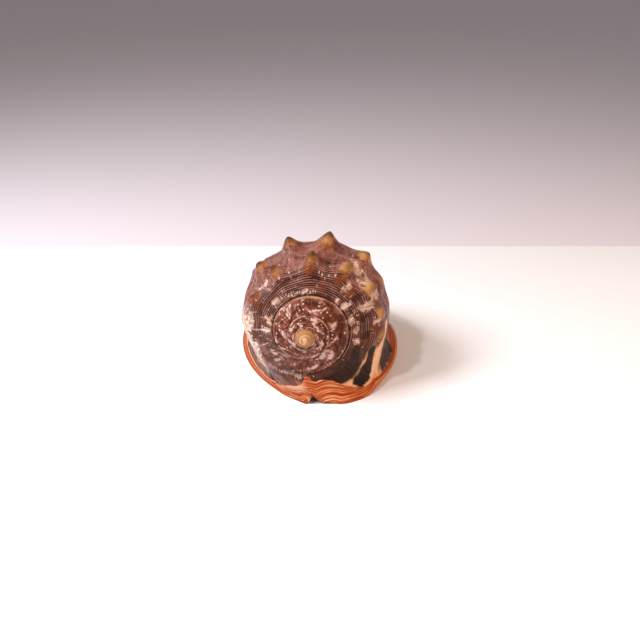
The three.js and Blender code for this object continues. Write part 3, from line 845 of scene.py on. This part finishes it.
def markings(places):
    """Vector masks, by name, from 0 to 1 over the shell; coil is growth angle and length themselves."""
    angle, length, share = places["angle"], places["length"], places["share"]
    below, away = places["below"], from_notch(places["angle"])
    spire = angle < -360
    last = 1.0 - spire
    early = (1 - ease((angle + 360) / 70)) * np.where(spire, 1, 1 - ease((length - 26) / 10))
    right = (angle > -90) * last
    cheek = right * ease((share * 100 - 6) / 3) * ease((angle + 80) / 14)
    # Left flank, painted pale: partly its own pinkish-white colour, partly painted light from the lamp on the
    # left
    left = last * ease((length - 16) / 14) * ease((angle + 310) / 16) * ease((-246 - angle) / 24)
    left *= 1 - ease((length - 42) / 40)
    strip = right * bell((share - STRIP_SHARE + 0.0012 * (angle + 66)) / 0.022)
    strip *= between(angle, *STRIP_ANGLES)
    pale = np.maximum(patches(PALE_PATCHES, angle, length), 0.95 * left)
    blotch = streaks(BLOTCHES, angle, share) * right
    dark = patches(DARK_PATCHES, angle, length)
    rust = patches(RUST_PATCHES, angle, length)

    lines = last * np.maximum(between(length, *LINE_LENGTHS), 0.9 * between(length, *BACK_LINE_LENGTHS))
    lines *= (1 - ease(below / 0.5)) * (1 - 0.7 * cheek) * (1 - early)
    mauve = last * np.maximum(between(length, *MAUVE_LENGTHS) * between(angle, *MAUVE_ANGLES),
                              ease((length - 40) / 12) * (1 - ease(below / 0.4)) * 0.7)
    mauve = np.maximum(mauve, patches(MAUVE_PATCHES, angle, length))
    # Dashes, partly the shell's own marks and partly painted glints
    dashes_and_glints = last * patches(DASH_AND_GLINT_PATCHES, angle, length)

    edge, groove = suture_rim(places)
    dots = early * between(length, *DOT_LENGTHS)
    tips = knob_tips(angle, length, 1.3) * last * (below <= 0.4) * ease((angle + 234) / 12)
    golden = 0.35 + 0.65 * ease((angle + 172) / 24)
    lip = lip_cover(places)
    cream = (angle < -180) * ease((places["rim"] - 6) / 7) * (1 - bell(away / NOTCH_REACH))
    cover, raised = carving(places)
    masks = {
        "coil": (angle, length, np.zeros_like(angle)),
        "tones": (pale, dark, rust),
        "bands": (lines, mauve, dashes_and_glints),
        "cheek": (cheek, blotch, strip),
        "spire": (dots, edge, groove),
        "tips": (tips, golden, tip_cover(places)),
        "flank": (left, early, (1 - early) * between(length, *SLOPE_LENGTHS)),
        "lip": (lip, places["rim"], cream),
        "mouth": (places["inside"], under_cover(places), tooth_crest(places) * under_cover(places)),
        "carving": (cover, raised, np.clip(scars(places) + 0.75 * old_lip(places)[1], 0, 1)),
    }
    return {name: np.stack(np.broadcast_arrays(*parts), -1) for name, parts in masks.items()}


def add_masks(mesh, masks):
    """Stores each mask at the face corners, so that colours can stop at a suture."""
    for name, values in masks.items():
        layer = mesh.attributes.new(name, "FLOAT_VECTOR", "CORNER")
        layer.data.foreach_set("vector", values.astype(np.float32).ravel())


# Finish

class Finish:
    """A material with short calls for adding nodes to it."""

    def __init__(self, name):
        self.material = bpy.data.materials.new(name)
        self.material.use_nodes = True
        self.tree = self.material.node_tree
        self.shader = self.tree.nodes["Principled BSDF"]
        self.base = None

    def put(self, socket, value):
        if isinstance(value, bpy.types.NodeSocket):
            self.tree.links.new(value, socket)
        elif hasattr(socket.default_value, "__len__") and len(socket.default_value) == 4:
            socket.default_value = (*value, 1)
        else:
            socket.default_value = value

    def add(self, kind, inputs, **settings):
        node = self.tree.nodes.new(kind)
        for name, value in settings.items():
            setattr(node, name, value)
        for name, value in inputs.items():
            self.put(node.inputs[name], value)
        return node

    def masks(self, name):
        """The three parts of a vector mask."""
        node = self.add("ShaderNodeAttribute", {}, attribute_name=name)
        return self.add("ShaderNodeSeparateXYZ", {0: node.outputs["Vector"]}).outputs

    def math(self, operation, a, b=0.0):
        return self.add("ShaderNodeMath", {0: a, 1: b}, operation=operation).outputs[0]

    def times(self, first, *others):
        for other in others:
            first = self.math("MULTIPLY", first, other)
        return first

    def plus(self, first, *others):
        for other in others:
            first = self.math("ADD", first, other)
        return first

    def step(self, value, low, high, start=0.0, end=1.0):
        """Eases from start to end as the value goes from low to high."""
        inputs = {"Value": value, "From Min": low, "From Max": high, "To Min": start, "To Max": end}
        return self.add("ShaderNodeMapRange", inputs, interpolation_type="SMOOTHSTEP").outputs[0]

    def blend(self, share, a, b):
        """Colour a going to b."""
        return self.add("ShaderNodeMix", {0: share, 6: a, 7: b}, data_type="RGBA").outputs[2]

    def paint(self, share, colour):
        """Lays a colour over the base colour by a share."""
        self.base = self.blend(share, self.base, colour)

    def stretched(self, vector, size):
        """Coordinates divided by a size in each direction."""
        scale = tuple(1 / part for part in size) + (1.0,)
        return self.add("ShaderNodeVectorMath", {0: vector, 1: scale}, operation="MULTIPLY").outputs[0]

    def noise(self, vector, size, detail=3.0, distortion=0.0):
        inputs = {"Vector": self.stretched(vector, size), "Scale": 1.0, "Detail": detail,
                  "Roughness": 0.6, "Distortion": distortion}
        return self.add("ShaderNodeTexNoise", inputs, noise_dimensions="2D").outputs[0]

    def flecks(self, vector, size, low, high, scatter):
        """Round flecks, one to a cell, and a number at random for each."""
        inputs = {"Vector": self.stretched(vector, size), "Scale": 1.0, "Randomness": scatter}
        node = self.add("ShaderNodeTexVoronoi", inputs, voronoi_dimensions="2D")
        chance = self.add("ShaderNodeSeparateColor", {0: node.outputs["Color"]}).outputs[0]
        return self.step(node.outputs["Distance"], low, high, 1.0, 0.0), chance

    def ramp(self, value, stops):
        node = self.add("ShaderNodeValToRGB", {0: value})
        while len(node.color_ramp.elements) < len(stops):
            node.color_ramp.elements.new(0.5)
        for element, (place, colour) in zip(node.color_ramp.elements, stops):
            element.position, element.color = place, (*colour, 1)
        return node.outputs[0]


def shell_finish(colours):
    """Mottled, corded brown shell with cream and dark patches, golden knobs and an orange lip."""
    f = Finish("shell")
    coil = f.add("ShaderNodeAttribute", {}, attribute_name="coil").outputs["Vector"]
    turned, along, _ = f.add("ShaderNodeSeparateXYZ", {0: coil}).outputs
    pale, dark, rust = f.masks("tones")
    lines, mauve, dashes_and_glints = f.masks("bands")
    cheek, blotch, strip = f.masks("cheek")
    dots, edge, groove = f.masks("spire")
    tips, golden, apex = f.masks("tips")
    lip, rim, cream = f.masks("lip")
    inside, under, crest = f.masks("mouth")
    carved, raised, scar = f.masks("carving")
    left, spire, slope = f.masks("flank")

    def cloud(size, low, high, distortion=0.0, detail=2.0):
        """Soft patches of a size round the shell and along the profile."""
        return f.step(f.noise(coil, size, detail, distortion), low, high)

    mottle = cloud((17, 9), 0.32, 0.68, 0.5)
    patch = cloud((8, 5), 0.32, 0.68, 0.4)
    streak = cloud((2.2, 16), 0.3, 0.7, 0.3)
    grain = cloud((0.9, 0.9), 0.3, 0.7)
    bars = cloud((3.0, 9), 0.46, 0.62, 0.4, detail=1.0)
    ragged = f.math("SUBTRACT", f.plus(f.times(patch, 0.8), f.times(streak, 0.2)), 0.5)
    waver = f.times(f.noise(coil, (25, 5), 2.0), 3.0)
    cord = f.math("SINE", f.plus(f.times(along, 2 * math.pi / CORD_PITCH), waver))
    cord = f.times(f.step(cord, -0.2, 0.9), f.step(f.noise(coil, (18, 2.5), 2.0), 0.35, 0.62, 0.25, 1.0))

    def spread(mask, amount, low=0.3, high=0.62):
        """A mask with its edge broken up, and nothing where the mask is nothing."""
        return f.step(f.plus(mask, f.times(ragged, amount, f.step(mask, 0.05, 0.35))), low, high)

    spiral = cloud((45, 4.5), 0.36, 0.64, 0.3)
    tone = f.plus(f.times(mottle, 0.6), f.times(spiral, 0.25), f.times(streak, 0.15))
    f.base = f.ramp(tone, ((0.15, colours.dark_brown), (0.45, colours.red_brown),
                           (0.75, colours.purple_brown), (1.0, colours.mauve)))
    f.paint(f.times(slope, 0.72), colours.dark_brown)
    banded = f.step(f.plus(f.times(spiral, 0.5), f.times(bars, -0.5)), -0.5, 0.5, 0.0, 0.85)
    f.paint(f.times(spread(mauve, 0.7, 0.2, 0.7), banded), colours.mauve)
    clouds = cloud((5, 11), 0.5, 0.62, 0.4)
    f.paint(f.times(mauve, clouds, 0.75), colours.red_brown)
    # Pale cords: partly their own colour, partly a painted highlight along the cord crests
    f.paint(f.times(cord, lines, 0.55), colours.pale_mauve)
    rusty = f.blend(streak, colours.rust, colours.red_brown)
    f.paint(f.times(spread(rust, 0.8, 0.25, 0.7), 0.9), rusty)
    # White dashes: partly the shell's own marks, partly painted glints on the cords
    dash_and_glint, chance = f.flecks(coil, (3.6, 6.5), 0.06, 0.26, 0.95)
    shown = f.step(f.plus(dashes_and_glints, f.times(chance, 0.9)), 0.65, 1.05)
    f.paint(f.times(dash_and_glint, shown, 0.6), colours.white)
    f.paint(f.times(spread(dark, 0.6, 0.25, 0.7), 0.85), colours.dark_brown)
    light = f.blend(patch, colours.cream, colours.grey_white)
    # Whitening on the left flank: partly its own colour, partly painted light from the left
    light = f.blend(f.times(left, 0.5), light, colours.white)
    light = f.blend(f.times(bars, 0.6), light, colours.rust)
    f.paint(f.times(spread(pale, 0.9, 0.2, 0.85), 0.92), light)
    peach = f.blend(cloud((12, 10), 0.4, 0.6), colours.cream, colours.peach)
    f.paint(f.step(f.plus(cheek, f.times(ragged, 0.3)), 0.4, 0.8), peach)
    f.paint(f.step(f.plus(strip, f.times(ragged, 0.2)), 0.3, 0.8), colours.lip_cream)
    burnt = f.blend(f.step(streak, 0.2, 1.0, 0.0, 0.3), colours.black_brown, colours.red_brown)
    f.paint(f.step(f.plus(blotch, f.times(ragged, 0.25)), 0.3, 0.7), burnt)

    swirl = f.ramp(f.plus(f.times(f.noise(coil, (26, 13), 1.5, 0.6), 0.85), f.times(streak, 0.12)), (
        (0.34, colours.dark_brown), (0.43, colours.red_brown), (0.51, colours.purple_brown),
        (0.57, colours.mauve), (0.63, colours.grey_white)))
    f.paint(f.times(spire, 0.85), swirl)
    dot, chance = f.flecks(coil, (9.5, 6.0), 0.04, 0.3, 0.9)
    f.paint(f.times(dot, dots, f.step(chance, 0.7, 0.85, 0.0, 0.7)), colours.white)
    paled = f.step(f.noise(coil, (55, 30), 1.0), 0.4, 0.62, 0.2, 1.0)
    f.paint(f.times(edge, paled), colours.suture_cream)
    flush = f.blend(f.plus(golden, f.times(ragged, 0.8)), colours.rust, colours.gold)
    f.paint(f.times(f.step(f.plus(tips, f.times(ragged, 0.3)), 0.15, 0.6), 0.85), flush)
    tarnish = f.times(f.step(tips, 0.55, 0.95), f.step(golden, 0.0, 1.0, 1.0, 0.55))
    f.paint(tarnish, colours.olive)
    # Painted shade: the groove of each suture, under the raised edge of the whorl, is painted near black
    f.paint(f.times(groove, 0.85), colours.black_brown)
    rings = f.step(f.math("SINE", f.times(along, 2 * math.pi / TIP_RING_PITCH)), 0.3, 1.0)
    ringed = f.times(f.plus(f.times(patch, 0.25), f.times(rings, 0.6)), 0.9)
    tip_gold_and_highlight = f.blend(ringed, colours.gold, colours.olive)
    # Painted highlight: cream in the middle of the spire's rounded tip
    tip_gold_and_highlight = f.blend(f.step(apex, 0.5, 0.9), tip_gold_and_highlight, colours.cream)
    f.paint(f.times(f.step(apex, 0.0, 0.2), f.step(groove, 0.0, 1.0, 0.95, 0.5)), tip_gold_and_highlight)
    f.paint(f.times(scar, f.step(patch, 0.0, 1.0, 0.4, 0.8)), colours.grey_white)

    layer = f.add("ShaderNodeCombineXYZ", {0: turned, 1: rim}).outputs[0]
    layer = f.step(f.noise(layer, (30, 0.9), 3.0, 0.1), 0.3, 0.7)
    orange = f.ramp(layer, ((0.1, colours.deep_orange), (0.5, colours.orange), (0.9, colours.salmon),
                            (1.0, colours.lip_cream)))
    orange = f.blend(f.times(cream, 0.8), orange, colours.lip_cream)
    below = f.blend(crest, colours.deep_orange, colours.lip_cream)
    orange = f.blend(f.times(under, f.step(grain, 0.0, 1.0, 0.55, 0.8)), orange, below)
    f.paint(f.math("MAXIMUM", spread(lip, 0.25, 0.35, 0.65), under), orange)
    f.paint(inside, colours.mouth_brown)
    ground = f.blend(streak, colours.orange, colours.rust)
    f.paint(carved, f.blend(f.step(raised, 0.15, 0.4), ground, colours.carved_white))

    f.put(f.shader.inputs["Base Color"], f.base)
    worn = f.plus(f.times(grain, 0.5), f.times(streak, 0.5))
    f.put(f.shader.inputs["Roughness"], f.step(worn, 0.1, 0.9, 0.2, 0.38))
    f.put(f.shader.inputs["IOR"], SHELL_IOR)
    f.put(f.shader.inputs["Specular IOR Level"], SHELL_SHEEN)
    f.put(f.shader.inputs["Specular Tint"], SHEEN_TINT)
    height = f.plus(f.times(cord, lines, 0.5), f.times(streak, 0.5), f.times(grain, 0.25))
    bump = f.add("ShaderNodeBump", {"Height": height, "Strength": BUMP_STRENGTH, "Distance": BUMP_DISTANCE})
    f.put(f.shader.inputs["Normal"], bump.outputs["Normal"])
    return f.material


def floor_finish(stage):
    """Pale matt floor, a little greyer far behind the shell."""
    f = Finish("floor")
    place = f.add("ShaderNodeTexCoord", {}).outputs["Object"]
    behind = f.add("ShaderNodeSeparateXYZ", {0: place}).outputs[1]
    far = f.step(behind, stage.floor_depth, stage.floor_depth + FLOOR_BLEND)
    f.put(f.shader.inputs["Base Color"], f.blend(far, stage.floor_colour, stage.far_colour))
    f.put(f.shader.inputs["Roughness"], FLOOR_ROUGHNESS)
    return f.material


# Settings

def colour(name, description, default):
    return bpy.props.FloatVectorProperty(
        name=name, description=description, subtype="COLOR", size=3, min=0, max=1, default=default)


def size(name, description, default):
    return bpy.props.FloatProperty(
        name=name, description=description, unit="LENGTH", min=0, precision=5, default=default)


def number(name, description, subtype, default):
    return bpy.props.FloatProperty(name=name, description=description, subtype=subtype, default=default)


class ShellColours(bpy.types.PropertyGroup):
    """Colours of the shell's layers and markings"""

    dark_brown: colour("Dark brown", "Darkest mottling", (0.028, 0.008, 0.005))
    red_brown: colour("Red brown", "Main brown", (0.100, 0.024, 0.010))
    purple_brown: colour("Purple brown", "Lighter mottling", (0.170, 0.050, 0.030))
    mauve: colour("Mauve", "Bands between the knobs", (0.255, 0.102, 0.090))
    # Pale mauve on the cords is partly their own colour and partly a painted highlight
    pale_mauve: colour("Pale mauve", "Fine spiral cords", (0.420, 0.215, 0.180))
    rust: colour("Rust", "Rust-brown patches", (0.190, 0.045, 0.010))
    # Cream also paints the highlight in the middle of the spire's tip
    cream: colour("Cream", "Warm pale patches", (0.640, 0.370, 0.200))
    peach: colour("Peach", "Front of the outer lip", (0.600, 0.250, 0.105))
    grey_white: colour("Grey white", "Cool pale patches and growth scars", (0.600, 0.440, 0.390))
    # White paints the dashes, which are partly painted glints; on the left flank it is partly painted light
    white: colour("White", "Dashes, dots and the pale left flank", (0.800, 0.630, 0.550))
    # Black brown also paints the shade in the suture grooves
    black_brown: colour("Black brown", "Large blotches and sutures", (0.008, 0.003, 0.002))
    olive: colour("Olive", "Dark side of the knobs", (0.060, 0.027, 0.010))
    gold: colour("Gold", "Golden knobs and tip of the spire", (0.400, 0.195, 0.070))
    suture_cream: colour("Suture cream", "Raised edge of each whorl", (0.520, 0.260, 0.170))
    deep_orange: colour("Deep orange", "Dark layers of the lip", (0.240, 0.030, 0.006))
    orange: colour("Orange", "Main colour of the lip", (0.390, 0.078, 0.016))
    salmon: colour("Salmon", "Light layers of the lip", (0.520, 0.145, 0.045))
    lip_cream: colour("Lip cream", "Palest layers of the lip and its teeth", (0.720, 0.410, 0.250))
    mouth_brown: colour("Mouth brown", "Inside of the mouth", (0.100, 0.025, 0.010))
    carved_white: colour("Carved white", "Raised part of the carving", (0.78, 0.67, 0.58))


class ShellRelief(bpy.types.PropertyGroup):
    """Heights of the fine relief"""

    cords: size("Cords", "Height of the fine spiral cords", 0.0001)
    beads: size("Beads", "Height of the beads on the spire", 0.0006)
    valleys: size("Valleys", "Depth of the hollows between the knobs", 0.0022)
    plate: size("Plate", "Height of the plate that an older lip left", 0.0008)
    layers: size("Layers", "Height of the layers of the lip", 0.00035)
    tip: size("Tip", "Height of the rounded tip of the spire", 0.0022)
    teeth: size("Teeth", "Depth of the grooves between the teeth", 0.0012)
    carving: size("Carving", "Depth of the carved oval", 0.0014)


class ShellStage(bpy.types.PropertyGroup):
    """Floor, lights and camera"""

    floor_colour: colour("Floor", "Colour of the floor", (0.88, 0.86, 0.88))
    far_colour: colour("Far floor", "Colour of the floor far behind the shell", (0.78, 0.70, 0.75))
    floor_depth: size("Floor depth", "Where the far floor starts behind the shell", 0.202)
    distance: size("Camera distance", "Distance from the camera to the shell", 0.441)
    elevation: number("Camera elevation", "Angle from which the camera looks down", "ANGLE", math.radians(30))
    key_power: number("Key light", "Power of the cool light on the left", "POWER", 9.5)
    glint_power: number("Glint light", "Power of the small light for highlights", "POWER", 2.4)
    fill_power: number("Fill light", "Power of the warm light on the right", "POWER", 4.2)
    sky: number("Room light", "Strength of the even light all round", "FACTOR", 0.26)


# Operators

class SHELL_OT_shell(bpy.types.Operator):
    """Builds the shell's surface and its finish"""

    bl_idname = "helmet_shell.shell"
    bl_label = "Shell"

    def execute(self, context):
        points, (quads, triangles), at_vertices, at_corners = assemble()
        low, high = (np.array(corner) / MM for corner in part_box("shell"))
        middle = (points.min(0) + points.max(0)) / 2
        points[:, :2] += ((low + high) / 2 - middle)[:2]
        lift = relief(at_vertices, context.scene.shell_relief)
        points += lift[:, None] * vertex_normals(points, quads, triangles)
        points[:, 2] = np.maximum(points[:, 2], 0)
        mesh = bpy.data.meshes.new("shell_surface")
        fill_mesh(mesh, points * MM, quads, triangles)
        add_masks(mesh, markings(at_corners))
        mesh.materials.append(shell_finish(context.scene.shell_colours))
        piece = bpy.data.objects.new("shell_surface", mesh)
        context.scene.collection.objects.link(piece)
        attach(piece, "root")
        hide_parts("shell")
        return {"FINISHED"}


def soft_light(scene, name, power):
    """A square area light at its place in LIGHTS, turned towards LIGHT_AT."""
    place, width, tint = LIGHTS[name]
    light_data = bpy.data.lights.new(name, "AREA")
    light_data.energy, light_data.color, light_data.size = power, tint, width
    light = bpy.data.objects.new(name, light_data)
    light.location = place
    direction = np.array(LIGHT_AT) - np.array(place)
    pitch = math.atan2(math.hypot(direction[0], direction[1]), -direction[2])
    light.rotation_euler = (pitch, 0, math.atan2(direction[1], direction[0]) - math.pi / 2)
    scene.collection.objects.link(light)


class SHELL_OT_stage(bpy.types.Operator):
    """Builds the floor, the lights and the camera"""

    bl_idname = "helmet_shell.stage"
    bl_label = "Stage"

    def execute(self, context):
        scene, stage = context.scene, context.scene.shell_stage
        mesh = bpy.data.meshes.new("floor")
        corners = [(x * FLOOR_REACH, y * FLOOR_REACH, 0) for x, y in ((-1, -1), (1, -1), (1, 1), (-1, 1))]
        mesh.from_pydata(corners, [], [(0, 1, 2, 3)])
        mesh.materials.append(floor_finish(stage))
        floor = bpy.data.objects.new("floor", mesh)
        scene.collection.objects.link(floor)

        away = np.array([0, -math.cos(stage.elevation), math.sin(stage.elevation)])
        camera_data = bpy.data.cameras.new("camera")
        camera_data.lens = camera_data.sensor_width = LENS
        camera = bpy.data.objects.new("camera", camera_data)
        camera.location = np.array(LOOK_AT) + away * stage.distance
        camera.rotation_euler = (math.pi / 2 - stage.elevation, 0, 0)
        scene.collection.objects.link(camera)
        scene.camera = camera

        soft_light(scene, "key", stage.key_power)
        soft_light(scene, "glint", stage.glint_power)
        soft_light(scene, "fill", stage.fill_power)
        world = bpy.data.worlds.new("studio")
        world.use_nodes = True
        room = world.node_tree.nodes["Background"].inputs
        room["Color"].default_value, room["Strength"].default_value = ROOM_TINT, stage.sky
        scene.world = world
        scene.view_settings.view_transform = "Standard"
        return {"FINISHED"}


class SHELL_PT_panel(bpy.types.Panel):
    """Lists the shell's operators and settings"""

    bl_idname = "SHELL_PT_panel"
    bl_label = "Helmet shell"
    bl_space_type = "VIEW_3D"
    bl_region_type = "UI"
    bl_category = "Helmet shell"

    def draw(self, context):
        for operator in (SHELL_OT_shell, SHELL_OT_stage):
            self.layout.operator(operator.bl_idname)
        for name in SETTINGS:
            settings = getattr(context.scene, name)
            box = self.layout.box()
            for key in settings.__annotations__:
                box.prop(settings, key)


SETTINGS = {"shell_colours": ShellColours, "shell_relief": ShellRelief, "shell_stage": ShellStage}
CLASSES = (*SETTINGS.values(), SHELL_OT_shell, SHELL_OT_stage, SHELL_PT_panel)


def register():
    for cls in CLASSES:
        bpy.utils.register_class(cls)
    for name, group in SETTINGS.items():
        setattr(bpy.types.Scene, name, bpy.props.PointerProperty(type=group))


def unregister():
    for name in SETTINGS:
        delattr(bpy.types.Scene, name)
    for cls in reversed(CLASSES):
        bpy.utils.unregister_class(cls)


def main():
    register()
    bpy.ops.helmet_shell.shell()
    bpy.ops.helmet_shell.stage()


if __name__ == "__main__":
    main()
